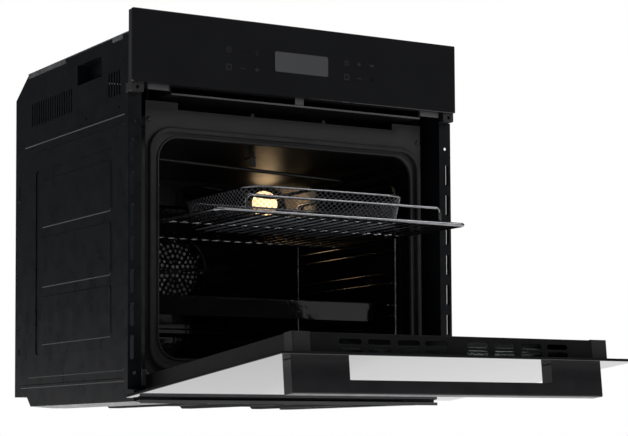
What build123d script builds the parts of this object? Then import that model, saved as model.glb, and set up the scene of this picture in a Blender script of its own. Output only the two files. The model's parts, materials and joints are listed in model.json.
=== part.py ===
from build123d import *
import os

os.makedirs("parts", exist_ok=True)

# Built-in wall oven, 60 cm class. Millimetres, +Z up, the oven's front faces -Y.
# The origin is the centre of the base's underside. Depths are counted back from
# the front plane of the slotted columns, which is where a kitchen housing ends.

# ---- driving dimensions ------------------------------------------------------
PANEL_WIDTH = 595
TOTAL_HEIGHT = 600
PANEL_HEIGHT = 113
PANEL_FRONT = -16
GLASS = 4
SHEET = 1.2

CABINET_DEPTH = 500
CABINET_HALF = 276
CABINET_TOP = 575
CABINET_BOTTOM = 20
REAR_SLOPE_DEPTH = 443.5
REAR_SLOPE_TOP = 538

FACE_DEPTH = 27
FACE_HALF = 255
FACE_TOP = 468
CAVITY_HALF = 232
CAVITY_FLOOR = 70
CAVITY_CEILING = 412
CAVITY_BACK = 456
CAVITY_RADIUS = 34

DOOR_BOTTOM = 9
DOOR_GAP = 4
DOOR_BODY_HALF = 265
DOOR_BODY_TOP = 457
DOOR_INNER = 18
DOOR_OPEN_ANGLE = 84.4
PIVOT_DEPTH = -4
PIVOT_HEIGHT = 21

HANDLE_HALF = 262
HANDLE_REACH = 47
HANDLE_TOP = 445
HANDLE_BAR = 23

FAN_HEIGHT = 246
LAMP_X = 196
LAMP_HEIGHT = 380
LAMP_RADIUS = 25

RUNG_HEIGHTS = (115, 169, 223, 277, 331)
RUNG_DROP = 17
RUNG_X = 224.5
RUNG_RADIUS = 2
SHELF_HALF = 224.5
RACK_FRONT = -146.5
RACK_DEPTH = 391.5
TRAY_FRONT = 78
TRAY_BACK = 426

# ---- values worked out from them ---------------------------------------------
FRONT_Y = -CABINET_DEPTH / 2
PANEL_HALF = PANEL_WIDTH / 2
PANEL_BOTTOM = TOTAL_HEIGHT - PANEL_HEIGHT
DOOR_TOP = PANEL_BOTTOM - DOOR_GAP
DOOR_GLASS_BACK = PANEL_FRONT + GLASS
INSIDE_HALF = CABINET_HALF - SHEET
CAVITY_MIDDLE = (CAVITY_FLOOR + CAVITY_CEILING) / 2
CAVITY_HEIGHT = CAVITY_CEILING - CAVITY_FLOOR
PIVOT = Axis((0, FRONT_Y + PIVOT_DEPTH, PIVOT_HEIGHT), (1, 0, 0))
RACK_HEIGHT = RUNG_HEIGHTS[3] + RUNG_RADIUS + 0.3
TRAY_HEIGHT = RUNG_HEIGHTS[1] + RUNG_RADIUS + 0.3


# ---- small helpers -----------------------------------------------------------
def block(x, y, z, mode=Mode.ADD):
    """A box from its two corners; y is a depth behind the front plane."""
    middle = ((x[0] + x[1]) / 2, FRONT_Y + (y[0] + y[1]) / 2, (z[0] + z[1]) / 2)
    with Locations(middle):
        Box(x[1] - x[0], y[1] - y[0], z[1] - z[0], mode=mode)


def both_blocks(x, y, z, mode=Mode.ADD):
    """The same box on the right and, mirrored, on the left."""
    block(x, y, z, mode)
    block((-x[1], -x[0]), y, z, mode)


def at(x, depth, z):
    """A point from its depth behind the front plane."""
    return (x, FRONT_Y + depth, z)


def facing(depth):
    """A plane that looks out of the front, at a depth behind the front plane."""
    return Plane.XZ.offset(-(FRONT_Y + depth))


def rod(start, end, radius):
    """A straight round rod between two points."""
    with BuildLine() as axis:
        Line(start, end)
    with BuildSketch(Plane(origin=start, z_dir=axis.line % 0)) as section:
        Circle(radius)
    sweep(section.sketch, path=axis.line)


def bent_rod(points, radius, bend):
    """A round rod that follows a path with rounded corners."""
    with BuildLine() as path:
        FilletPolyline(*points, radius=bend)
    with BuildSketch(Plane(origin=path.line @ 0, z_dir=path.line % 0)) as section:
        Circle(radius)
    sweep(section.sketch, path=path.line)


def save(builder, name):
    """Label a finished piece and write its STEP file."""
    builder.part.label = name
    export_step(builder.part, f"parts/{name}.step")


def save_pair(builder, name):
    """Write a right-hand piece and its mirror image on the left."""
    save(builder, f"{name}_right")
    with BuildPart() as other:
        mirror(builder.part, about=Plane.YZ)
    save(other, f"{name}_left")


def save_both(builder, name):
    """Write a right-hand piece and its mirror image as one node of two solids."""
    with BuildPart() as both:
        add(builder.part)
        mirror(builder.part, about=Plane.YZ)
    save(both, name)


def save_door(builder, name):
    """Swing a piece that is drawn with the door shut, and write it at rest, open."""
    with BuildPart() as opened:
        add(builder.part.rotate(PIVOT, DOOR_OPEN_ANGLE))
    save(opened, name)


def save_door_both(builder, name):
    """Write a right-hand door piece and its mirror image, swung open, as one node."""
    with BuildPart() as both:
        add(builder.part)
        mirror(builder.part, about=Plane.YZ)
    save_door(both, name)


# ---- cabinet: side panels ----------------------------------------------------
GRIP = (143, 237, 522, 555)
GRIP_INSIDE = 24
VENT_HEIGHT = 40
VENT_WIDTH = 4.6
VENT_PITCH = 9.7
VENT_MIDDLE = 502
FIELD_RAISE = 1.4
FIELDS = ((51, 447, 51, 435),)
RECESSES = ((94, 406, 89, 402),)
SUB_FIELDS = ((106, 384, 105, 187), (106, 384, 202, 287), (106, 384, 303, 385))
BEADS = ((45, 459, 451), (47, 472, 37))
BEAD_WIDTH = 6
SIDE_HOLES = ((202, 462), (77, 463), (96, 402), (74, 398))


def side_rectangles(rectangles, radius):
    """Rounded rectangles on a side panel, from depth and height limits."""
    for near, far, low, high in rectangles:
        with Locations((FRONT_Y + (near + far) / 2, (low + high) / 2)):
            RectangleRounded(far - near, high - low, radius)


with BuildPart() as side_panel:
    with BuildSketch(Plane.YZ.offset(INSIDE_HALF)):
        with BuildLine():
            Polyline(
                (FRONT_Y, CABINET_BOTTOM),
                (FRONT_Y + CABINET_DEPTH, CABINET_BOTTOM),
                (FRONT_Y + CABINET_DEPTH, REAR_SLOPE_TOP),
                (FRONT_Y + REAR_SLOPE_DEPTH, CABINET_TOP),
                (FRONT_Y, CABINET_TOP),
                close=True,
            )
        make_face()
    extrude(amount=SHEET)
    with BuildSketch(Plane.YZ.offset(CABINET_HALF)):
        side_rectangles(FIELDS, 12)
    extrude(amount=FIELD_RAISE, taper=40)
    with BuildSketch(Plane.YZ.offset(CABINET_HALF + FIELD_RAISE)):
        side_rectangles(RECESSES, 9)
    extrude(amount=-FIELD_RAISE, taper=-40, mode=Mode.SUBTRACT)
    with BuildSketch(Plane.YZ.offset(CABINET_HALF)):
        side_rectangles(SUB_FIELDS, 6)
    extrude(amount=FIELD_RAISE, taper=40)
    with BuildSketch(Plane.YZ.offset(CABINET_HALF)):
        for near, far, height in BEADS:
            with Locations((FRONT_Y + (near + far) / 2, height)):
                SlotOverall(far - near, BEAD_WIDTH)
        for height, tall in ((371, 28), (95, 14)):
            with Locations((FRONT_Y + 484, height)):
                SlotOverall(tall, 6, rotation=90)
    extrude(amount=FIELD_RAISE, taper=40)
    with BuildSketch(Plane.YZ.offset(INSIDE_HALF)):
        for first, count in ((261, 18), (76, 5)):
            for index in range(count):
                with Locations((FRONT_Y + first + index * VENT_PITCH, VENT_MIDDLE)):
                    SlotOverall(VENT_HEIGHT, VENT_WIDTH, rotation=90)
        for depth, height in SIDE_HOLES:
            with Locations((FRONT_Y + depth, height)):
                Circle(2.2)
    extrude(amount=SHEET, mode=Mode.SUBTRACT)
    block((INSIDE_HALF - GRIP_INSIDE, INSIDE_HALF), (GRIP[0] - SHEET, GRIP[1] + SHEET),
          (GRIP[2] - SHEET, GRIP[3] + SHEET))
    with BuildSketch(Plane.XZ.offset(-(FRONT_Y + GRIP[0]))):
        with BuildLine():
            Polyline(
                (CABINET_HALF, GRIP[2]),
                (CABINET_HALF, GRIP[3]),
                (CABINET_HALF - GRIP_INSIDE, GRIP[3]),
                (CABINET_HALF - GRIP_INSIDE, GRIP[2] + 14),
                close=True,
            )
        make_face()
    extrude(amount=-(GRIP[1] - GRIP[0]), mode=Mode.SUBTRACT)
save_pair(side_panel, "side_panel")

# ---- cabinet: top, rear and base ---------------------------------------------
with BuildPart() as top_cover:
    block((-CABINET_HALF - SHEET, CABINET_HALF + SHEET), (1.5, REAR_SLOPE_DEPTH - 1),
          (CABINET_TOP, CABINET_TOP + SHEET))
    for near, far in ((63, 100), (282, REAR_SLOPE_DEPTH - 1)):
        both_blocks((CABINET_HALF, CABINET_HALF + SHEET), (near, far),
                    (CABINET_TOP - 7, CABINET_TOP))
    with BuildSketch(Plane.XY.offset(CABINET_TOP + SHEET)):
        for x in (-170, 0, 170):
            with Locations((x, FRONT_Y + 110)):
                SlotOverall(110, 16)
            with Locations((x, FRONT_Y + 390)):
                SlotOverall(110, 16)
    extrude(amount=1.5, taper=40)
    with BuildSketch(Plane.XY.offset(CABINET_TOP)):
        for row in range(5):
            for column in range(22):
                with Locations((-157.5 + column * 15, FRONT_Y + 215 + row * 16)):
                    SlotOverall(11, 4)
    extrude(amount=SHEET, mode=Mode.SUBTRACT)
save(top_cover, "top_cover")

REAR_LOUVRE_ROWS = 9
with BuildPart() as rear_cover:
    with BuildSketch(Plane.YZ.offset(-INSIDE_HALF)):
        with BuildLine():
            Polyline(
                (FRONT_Y + CABINET_DEPTH, CABINET_BOTTOM + SHEET),
                (FRONT_Y + CABINET_DEPTH, REAR_SLOPE_TOP),
                (FRONT_Y + REAR_SLOPE_DEPTH, CABINET_TOP),
                (FRONT_Y + REAR_SLOPE_DEPTH - 1, CABINET_TOP - SHEET),
                (FRONT_Y + CABINET_DEPTH - SHEET, REAR_SLOPE_TOP - 1),
                (FRONT_Y + CABINET_DEPTH - SHEET, CABINET_BOTTOM + SHEET),
                close=True,
            )
        make_face()
    extrude(amount=2 * INSIDE_HALF)
    with BuildSketch(facing(CABINET_DEPTH)):
        for row in range(REAR_LOUVRE_ROWS):
            for x in (-75, 0, 75):
                with Locations((x, 150 + row * 22)):
                    SlotOverall(60, 5)
        with Locations((-185, 484)):
            Rectangle(70, 46)
    extrude(amount=SHEET, mode=Mode.SUBTRACT)
    for x in (-225, 225):
        with BuildSketch(facing(CABINET_DEPTH)):
            with Locations((x, 250)):
                RectangleRounded(50, 360, 12)
        extrude(amount=-1.5, taper=40)
save(rear_cover, "rear_cover")

with BuildPart() as base_plate:
    block((-INSIDE_HALF, INSIDE_HALF), (30, CABINET_DEPTH - SHEET),
          (CABINET_BOTTOM, CABINET_BOTTOM + SHEET))
    block((-INSIDE_HALF, INSIDE_HALF), (30, 31.2), (CABINET_BOTTOM + SHEET, 27))
save(base_plate, "base_plate")

RUNNER_INNER = 212
RUNNER_BACK = 427
RUNNER_BEVEL = (40, 3)
with BuildPart() as base_runner:
    with BuildSketch(Plane.YZ.offset(RUNNER_INNER)):
        with BuildLine():
            Polyline(
                (FRONT_Y + 24, CABINET_BOTTOM),
                (FRONT_Y + 24, 0),
                (FRONT_Y + RUNNER_BACK, 0),
                (FRONT_Y + RUNNER_BACK + 20, CABINET_BOTTOM),
                close=True,
            )
        make_face()
    extrude(amount=CABINET_HALF - RUNNER_INNER)
    block((RUNNER_INNER + 4, CABINET_HALF - 4), (28, RUNNER_BACK - 4), (4, CABINET_BOTTOM),
          Mode.SUBTRACT)
    with BuildSketch(facing(24)):
        with BuildLine():
            Polyline(
                (CABINET_HALF, 0),
                (CABINET_HALF, RUNNER_BEVEL[1]),
                (CABINET_HALF - RUNNER_BEVEL[0], 0),
                close=True,
            )
        make_face()
    extrude(amount=-RUNNER_BACK, mode=Mode.SUBTRACT)
save_both(base_runner, "base_runners")

PAN_LEVEL = 5
TRIM_STRIP_HALF = 272.5
with BuildPart() as base_pan:
    block((-RUNNER_INNER, RUNNER_INNER), (24, RUNNER_BACK), (PAN_LEVEL, PAN_LEVEL + SHEET))
    block((-RUNNER_INNER, RUNNER_INNER), (24, 25.2), (PAN_LEVEL, CABINET_BOTTOM))
    block((-RUNNER_INNER, RUNNER_INNER), (RUNNER_BACK - SHEET, RUNNER_BACK),
          (PAN_LEVEL, CABINET_BOTTOM))
    with BuildSketch(Plane.XY.offset(PAN_LEVEL)):
        for x in (-140, 0, 140):
            with Locations((x, FRONT_Y + 225)):
                Rectangle(26, 330)
    extrude(amount=-PAN_LEVEL, taper=35)
save(base_pan, "base_pan")

with BuildPart() as bottom_trim:
    block((-TRIM_STRIP_HALF, TRIM_STRIP_HALF), (8.5, 9.7), (0, PAN_LEVEL))
    block((-TRIM_STRIP_HALF, TRIM_STRIP_HALF), (9.7, 24), (PAN_LEVEL - SHEET, PAN_LEVEL))
save(bottom_trim, "bottom_trim_strip")

# ---- front frame --------------------------------------------------------------
COLUMN_TOP = 472
COLUMN_SLOTS = [67 + 50 * index for index in range(7)]
COLUMN_SLOT_X = 290.5
MOUNT_X = 286.5
MOUNT_HEIGHTS = (45, 428)

with BuildPart() as column:
    block((CABINET_HALF, PANEL_HALF), (0, SHEET), (CABINET_BOTTOM, COLUMN_TOP))
    block((PANEL_HALF - SHEET, PANEL_HALF), (SHEET, 12), (CABINET_BOTTOM, COLUMN_TOP))
    block((CABINET_HALF, CABINET_HALF + SHEET), (SHEET, 16), (CABINET_BOTTOM, COLUMN_TOP))
    with BuildSketch(facing(SHEET)):
        for height in COLUMN_SLOTS:
            with Locations((COLUMN_SLOT_X, height + 17)):
                SlotOverall(36, 6, rotation=90)
        for height in MOUNT_HEIGHTS:
            with Locations((MOUNT_X, height)):
                Circle(2.5)
    extrude(amount=SHEET, mode=Mode.SUBTRACT)
save_pair(column, "front_column")

with BuildPart() as panel_bracket:
    block((CABINET_HALF, PANEL_HALF - 1), (-11, 10), (COLUMN_TOP, PANEL_BOTTOM))
    with BuildSketch(facing(-11)):
        with Locations((287, 479.5)):
            Circle(3)
    extrude(amount=-5, mode=Mode.SUBTRACT)
    fillet(panel_bracket.edges().filter_by(Axis.Y).group_by(Axis.Z)[0], 3)
save_both(panel_bracket, "panel_brackets")

# ---- cavity --------------------------------------------------------------------
NOTCH_HALF = 199
NOTCH_BOTTOM = 457
LIP = 4

with BuildPart() as cavity_face:
    with BuildSketch(facing(FACE_DEPTH)):
        with Locations((0, (24 + FACE_TOP) / 2)):
            Rectangle(2 * FACE_HALF, FACE_TOP - 24)
        with Locations((0, (NOTCH_BOTTOM + FACE_TOP) / 2)):
            Rectangle(2 * NOTCH_HALF, FACE_TOP - NOTCH_BOTTOM, mode=Mode.SUBTRACT)
        with Locations((-66, NOTCH_BOTTOM + 2.5), (66, NOTCH_BOTTOM + 2.5)):
            Rectangle(6, 5)
        with Locations((0, CAVITY_MIDDLE)):
            RectangleRounded(2 * CAVITY_HALF, CAVITY_HEIGHT, CAVITY_RADIUS, mode=Mode.SUBTRACT)
        with Locations((-249, 439), (249, 439), (-249, 38), (249, 38)):
            Circle(2, mode=Mode.SUBTRACT)
    extrude(amount=-1.5)
    with BuildSketch(facing(FACE_DEPTH)):
        with Locations((0, CAVITY_MIDDLE)):
            RectangleRounded(2 * CAVITY_HALF + 2 * LIP, CAVITY_HEIGHT + 2 * LIP,
                             CAVITY_RADIUS + LIP)
            RectangleRounded(2 * CAVITY_HALF, CAVITY_HEIGHT, CAVITY_RADIUS, mode=Mode.SUBTRACT)
    extrude(amount=3, taper=20)
save(cavity_face, "cavity_face")

FACE_BACK = FACE_DEPTH + 1.5
with BuildPart() as cavity_liner:
    with BuildSketch(facing(FACE_BACK)):
        with Locations((0, CAVITY_MIDDLE)):
            RectangleRounded(2 * CAVITY_HALF + 2 * SHEET, CAVITY_HEIGHT + 2 * SHEET,
                             CAVITY_RADIUS + SHEET)
            RectangleRounded(2 * CAVITY_HALF, CAVITY_HEIGHT, CAVITY_RADIUS, mode=Mode.SUBTRACT)
    extrude(amount=-(CAVITY_BACK - FACE_BACK))
save(cavity_liner, "cavity_liner")

with BuildPart() as cavity_back:
    with BuildSketch(facing(CAVITY_BACK)):
        with Locations((0, CAVITY_MIDDLE)):
            RectangleRounded(2 * CAVITY_HALF + 2 * SHEET, CAVITY_HEIGHT + 2 * SHEET,
                             CAVITY_RADIUS + SHEET)
        with Locations((0, FAN_HEIGHT)):
            Circle(6, mode=Mode.SUBTRACT)
        with Locations((LAMP_X, LAMP_HEIGHT)):
            Circle(22, mode=Mode.SUBTRACT)
        with Locations((-40, 397), (40, 397)):
            Circle(4.3, mode=Mode.SUBTRACT)
    extrude(amount=-1.5)
save(cavity_back, "cavity_back_panel")

GASKET_HALF = 250.7
GASKET_WIDTH = 8
with BuildPart() as gasket:
    with BuildSketch(facing(FACE_DEPTH)):
        with Locations((0, CAVITY_MIDDLE - 2)):
            RectangleRounded(2 * GASKET_HALF, CAVITY_HEIGHT + 36, 38)
            RectangleRounded(2 * (GASKET_HALF - GASKET_WIDTH),
                             CAVITY_HEIGHT + 36 - 2 * GASKET_WIDTH, 30, mode=Mode.SUBTRACT)
    extrude(amount=8.2)
    fillet(gasket.faces().sort_by(Axis.Y)[0].edges(), 2.5)
save(gasket, "cavity_gasket")

with BuildPart() as insulation:
    with BuildSketch(facing(31)):
        with Locations((0, CAVITY_MIDDLE)):
            RectangleRounded(500, 392, 48)
            RectangleRounded(2 * CAVITY_HALF + 2 * SHEET, CAVITY_HEIGHT + 2 * SHEET,
                             CAVITY_RADIUS + SHEET, mode=Mode.SUBTRACT)
    extrude(amount=-(CAVITY_BACK - 33))
    block((-196, 196), (94, CAVITY_BACK), (47, CAVITY_FLOOR), Mode.SUBTRACT)
save(insulation, "insulation_blanket")

# ---- control panel --------------------------------------------------------------
DISPLAY = (-49, 49, 525, 557)
with BuildPart() as control_glass:
    block((-PANEL_HALF, PANEL_HALF), (PANEL_FRONT, PANEL_FRONT + GLASS),
          (PANEL_BOTTOM, TOTAL_HEIGHT))
    fillet(control_glass.edges().filter_by(Axis.Y), 2)
    chamfer(control_glass.faces().sort_by(Axis.Y)[0].edges(), 0.6)
save(control_glass, "control_panel_glass")

CARRIER_FRONT = PANEL_FRONT + GLASS
with BuildPart() as panel_carrier:
    block((-PANEL_HALF + 1, PANEL_HALF - 1), (CARRIER_FRONT, 0),
          (PANEL_BOTTOM, TOTAL_HEIGHT - 1))
    block((-PANEL_HALF + 12, PANEL_HALF - 12), (CARRIER_FRONT, -2),
          (PANEL_BOTTOM + 8, TOTAL_HEIGHT - 8), Mode.SUBTRACT)
    both_blocks((150, 260), (-2, 0), (500, 560), Mode.SUBTRACT)
save(panel_carrier, "panel_carrier")

with BuildPart() as display_module:
    block((DISPLAY[0], DISPLAY[1]), (CARRIER_FRONT, CARRIER_FRONT + 5), (DISPLAY[2], DISPLAY[3]))
    block((DISPLAY[0] + 4, DISPLAY[1] - 4), (CARRIER_FRONT + 5, CARRIER_FRONT + 6),
          (DISPLAY[2] + 4, DISPLAY[3] - 4))
save(display_module, "display_module")

with BuildPart() as touch_board:
    block((-150, 150), (CARRIER_FRONT + 6, CARRIER_FRONT + 7.6), (505, 570))
    for side in (-1, 1):
        for column_index in range(3):
            for row in range(2):
                with Locations(at(side * (78 + 30 * column_index), CARRIER_FRONT + 3,
                                  522 + 30 * row)):
                    Cylinder(5, 6, rotation=(90, 0, 0))
save(touch_board, "touch_key_board")

# ---- cooling air path -------------------------------------------------------------
GUIDE_LEVEL = 474
GUIDE_FRONT = -11
GUIDE_HALF = 230
with BuildPart() as air_guide:
    block((-GUIDE_HALF, GUIDE_HALF), (GUIDE_FRONT, 150), (GUIDE_LEVEL, GUIDE_LEVEL + SHEET))
    block((-GUIDE_HALF, GUIDE_HALF), (GUIDE_FRONT, GUIDE_FRONT + SHEET),
          (GUIDE_LEVEL - 1.6, GUIDE_LEVEL))
    block((-8, 8), (-7.7, -6.5), (GUIDE_LEVEL + SHEET, PANEL_BOTTOM))
    both_blocks((GUIDE_HALF, 270), (-7.7, -6.5), (GUIDE_LEVEL + 4, PANEL_BOTTOM))
    both_blocks((GUIDE_HALF - SHEET, GUIDE_HALF), (-7.7, 150),
                (GUIDE_LEVEL + SHEET, PANEL_BOTTOM))
save(air_guide, "air_guide")

with BuildPart() as duct_cover:
    block((-GUIDE_HALF - 20, GUIDE_HALF + 20), (2, 190), (PANEL_BOTTOM, PANEL_BOTTOM + SHEET))
    both_blocks((GUIDE_HALF + 20 - SHEET, GUIDE_HALF + 20), (30, 190), (447, PANEL_BOTTOM))
save(duct_cover, "duct_cover")

BLOWER_DEPTH = 245
BLOWER_HEIGHT = 505
WHEEL_RADIUS = 29
WHEEL_HALF = 140
BLADES = 24
with BuildPart() as blower_housing:
    with BuildSketch(Plane.YZ.offset(-WHEEL_HALF - 6)):
        with Locations((FRONT_Y + BLOWER_DEPTH, BLOWER_HEIGHT)):
            Circle(38)
            Circle(36.8, mode=Mode.SUBTRACT)
            with Locations((-30, -30)):
                Rectangle(60, 60, mode=Mode.SUBTRACT)
            with Locations((-38, 18)):
                Rectangle(76, 24, mode=Mode.SUBTRACT)
    extrude(amount=2 * WHEEL_HALF + 12)
    for side in (-1, 1):
        with BuildSketch(Plane.YZ.offset(side * (WHEEL_HALF + 6) - (SHEET if side > 0 else 0))):
            with Locations((FRONT_Y + BLOWER_DEPTH, BLOWER_HEIGHT)):
                Circle(38)
                Circle(6, mode=Mode.SUBTRACT)
        extrude(amount=SHEET)
    block((-WHEEL_HALF - 6, WHEEL_HALF + 6), (196, BLOWER_DEPTH),
          (BLOWER_HEIGHT - 38, BLOWER_HEIGHT - 36.8))
    both_blocks((WHEEL_HALF - 4, WHEEL_HALF + 6), (250, 275),
                (BLOWER_HEIGHT - 68, BLOWER_HEIGHT - 37.5))
save(blower_housing, "cooling_blower_housing")

with BuildPart() as blower_wheel:
    rod(at(-WHEEL_HALF - 5, BLOWER_DEPTH, BLOWER_HEIGHT),
        at(WHEEL_HALF + 14, BLOWER_DEPTH, BLOWER_HEIGHT), 3)
    for x in (-WHEEL_HALF, 0, WHEEL_HALF):
        with Locations(at(x, BLOWER_DEPTH, BLOWER_HEIGHT)):
            Cylinder(WHEEL_RADIUS, 2, rotation=(0, 90, 0))
    with BuildSketch(Plane.YZ.offset(-WHEEL_HALF)):
        with Locations((FRONT_Y + BLOWER_DEPTH, BLOWER_HEIGHT)):
            with PolarLocations(WHEEL_RADIUS - 4, BLADES):
                Rectangle(7, 1.2, rotation=30)
    extrude(amount=2 * WHEEL_HALF)
save(blower_wheel, "cooling_blower_wheel")

MOTOR_X = WHEEL_HALF + 16
with BuildPart() as blower_motor:
    with Locations(at(MOTOR_X + 17, BLOWER_DEPTH, BLOWER_HEIGHT)):
        Cylinder(24, 30, rotation=(0, 90, 0))
    block((MOTOR_X + 6, MOTOR_X + 26), (BLOWER_DEPTH - 30, BLOWER_DEPTH + 30),
          (BLOWER_HEIGHT - 34, BLOWER_HEIGHT + 22))
    block((MOTOR_X + 4, MOTOR_X + 30), (BLOWER_DEPTH - 14, BLOWER_DEPTH + 14),
          (439, BLOWER_HEIGHT - 34))
save(blower_motor, "cooling_blower_motor")

# ---- convection fan ----------------------------------------------------------------
COVER_DEPTH = 431
COVER_HALF = 118
PERFORATED_RADIUS = 60
with BuildPart() as fan_cover:
    block((-COVER_HALF, COVER_HALF), (COVER_DEPTH, CAVITY_BACK),
          (FAN_HEIGHT - COVER_HALF, FAN_HEIGHT + COVER_HALF))
    fillet(fan_cover.edges().filter_by(Axis.Y), 22)
    chamfer(fan_cover.faces().sort_by(Axis.Y)[0].edges(), 7)
    block((-COVER_HALF + 9, COVER_HALF - 9), (COVER_DEPTH + SHEET, CAVITY_BACK),
          (FAN_HEIGHT - COVER_HALF + 9, FAN_HEIGHT + COVER_HALF - 9), Mode.SUBTRACT)
    with BuildSketch(facing(COVER_DEPTH + SHEET)):
        with Locations((0, FAN_HEIGHT)):
            for ring in range(1, 7):
                with PolarLocations(ring * 9, 6 * ring):
                    Circle(3.1)
    extrude(amount=SHEET, mode=Mode.SUBTRACT)
    with BuildSketch(facing(COVER_DEPTH)):
        with Locations((0, FAN_HEIGHT)):
            Circle(PERFORATED_RADIUS + 2.5)
            Circle(PERFORATED_RADIUS, mode=Mode.SUBTRACT)
    extrude(amount=1.2)
save(fan_cover, "convection_fan_cover")

with BuildPart() as fan_wheel:
    with Locations(at(0, 446, FAN_HEIGHT)):
        Cylinder(50, 1.5, rotation=(90, 0, 0))
    with Locations(at(0, 445, FAN_HEIGHT)):
        Cylinder(9, 14, rotation=(90, 0, 0))
    rod(at(0, 440, FAN_HEIGHT), at(0, 466, FAN_HEIGHT), 3)
    with BuildSketch(facing(446)):
        with Locations((0, FAN_HEIGHT)):
            with PolarLocations(56, 12):
                Rectangle(26, 1.5, rotation=25)
    extrude(amount=11)
save(fan_wheel, "convection_fan_wheel")

with BuildPart() as fan_motor:
    with Locations(at(0, 459, FAN_HEIGHT)):
        Cylinder(30, 3, rotation=(90, 0, 0))
        Cylinder(6.5, 3, rotation=(90, 0, 0), mode=Mode.SUBTRACT)
    with Locations(at(0, 478, FAN_HEIGHT)):
        Cylinder(24, 35, rotation=(90, 0, 0))
        Cylinder(18, 35, rotation=(90, 0, 0), mode=Mode.SUBTRACT)
    with Locations(at(0, 486, FAN_HEIGHT)):
        Cylinder(18, 19, rotation=(90, 0, 0))
    block((-34, 34), (464, 490), (FAN_HEIGHT + 20, FAN_HEIGHT + 42))
    block((-34, 34), (464, 490), (FAN_HEIGHT - 42, FAN_HEIGHT - 20))
save(fan_motor, "convection_fan_motor")

RING_RADIUS = 92
with BuildPart() as ring_element:
    for depth in (442, 451):
        with Locations(at(0, depth, FAN_HEIGHT)):
            Torus(RING_RADIUS, 3, rotation=(90, 0, 0))
    both_blocks((-3, 3), (442, 451), (FAN_HEIGHT + RING_RADIUS - 2, FAN_HEIGHT + RING_RADIUS + 2))
save(ring_element, "ring_element")

# ---- heating elements ----------------------------------------------------------------
GRILL_HEIGHT = 392
GRILL_TILT = 2.2
with BuildPart() as grill_element:
    bent_rod(
        [
            at(-40, CAVITY_BACK + 14, GRILL_HEIGHT + 5),
            at(-40, 405, GRILL_HEIGHT + 5),
            at(-190, 405, GRILL_HEIGHT + 7),
            at(-190, 150, GRILL_HEIGHT + 7),
            at(186, 150, GRILL_HEIGHT - 7),
            at(186, 405, GRILL_HEIGHT - 7),
            at(40, 405, GRILL_HEIGHT + 5),
            at(40, CAVITY_BACK + 14, GRILL_HEIGHT + 5),
        ],
        3.2,
        18,
    )
save(grill_element, "grill_element")

with BuildPart() as grill_bracket:
    block((-5, 5), (145, 147), (GRILL_HEIGHT + 4.5, CAVITY_CEILING))
    block((-5, 5), (145, 165), (CAVITY_CEILING - SHEET, CAVITY_CEILING))
save(grill_bracket, "grill_bracket")

with BuildPart() as bottom_element:
    bent_rod(
        [
            at(-30, CAVITY_BACK + 20, 52),
            at(-30, 400, 52),
            at(-180, 400, 52),
            at(-180, 110, 52),
            at(180, 110, 52),
            at(180, 400, 52),
            at(30, 400, 52),
            at(30, CAVITY_BACK + 20, 52),
        ],
        3.2,
        20,
    )
save(bottom_element, "bottom_element")

# ---- oven lamp ---------------------------------------------------------------------
with BuildPart() as lamp_holder:
    with BuildSketch(facing(CAVITY_BACK + 1.5)):
        with Locations((LAMP_X, LAMP_HEIGHT)):
            Circle(28)
            Circle(18, mode=Mode.SUBTRACT)
    extrude(amount=-1.5)
    with BuildSketch(facing(CAVITY_BACK - 2)):
        with Locations((LAMP_X, LAMP_HEIGHT)):
            Circle(19.5)
            Circle(18, mode=Mode.SUBTRACT)
    extrude(amount=-32)
    with BuildSketch(facing(CAVITY_BACK + 26)):
        with Locations((LAMP_X, LAMP_HEIGHT)):
            Circle(18)
    extrude(amount=-4)
save(lamp_holder, "lamp_holder")

with BuildPart() as lamp_bulb:
    with BuildSketch(facing(CAVITY_BACK + 26)):
        with Locations((LAMP_X, LAMP_HEIGHT)):
            Circle(7)
    extrude(amount=12)
    with Locations(at(LAMP_X, CAVITY_BACK + 4, LAMP_HEIGHT)):
        Sphere(12)
save(lamp_bulb, "lamp_bulb")

with BuildPart() as lamp_cover:
    with BuildSketch(facing(CAVITY_BACK)):
        with Locations((LAMP_X, LAMP_HEIGHT)):
            Circle(LAMP_RADIUS)
    extrude(amount=15, taper=12)
    fillet(lamp_cover.faces().sort_by(Axis.Y)[0].edges(), 8)
    with BuildSketch(facing(CAVITY_BACK)):
        with Locations((LAMP_X, LAMP_HEIGHT)):
            Circle(LAMP_RADIUS - 2.5)
    extrude(amount=12, taper=12, mode=Mode.SUBTRACT)
save(lamp_cover, "lamp_glass")

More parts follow.
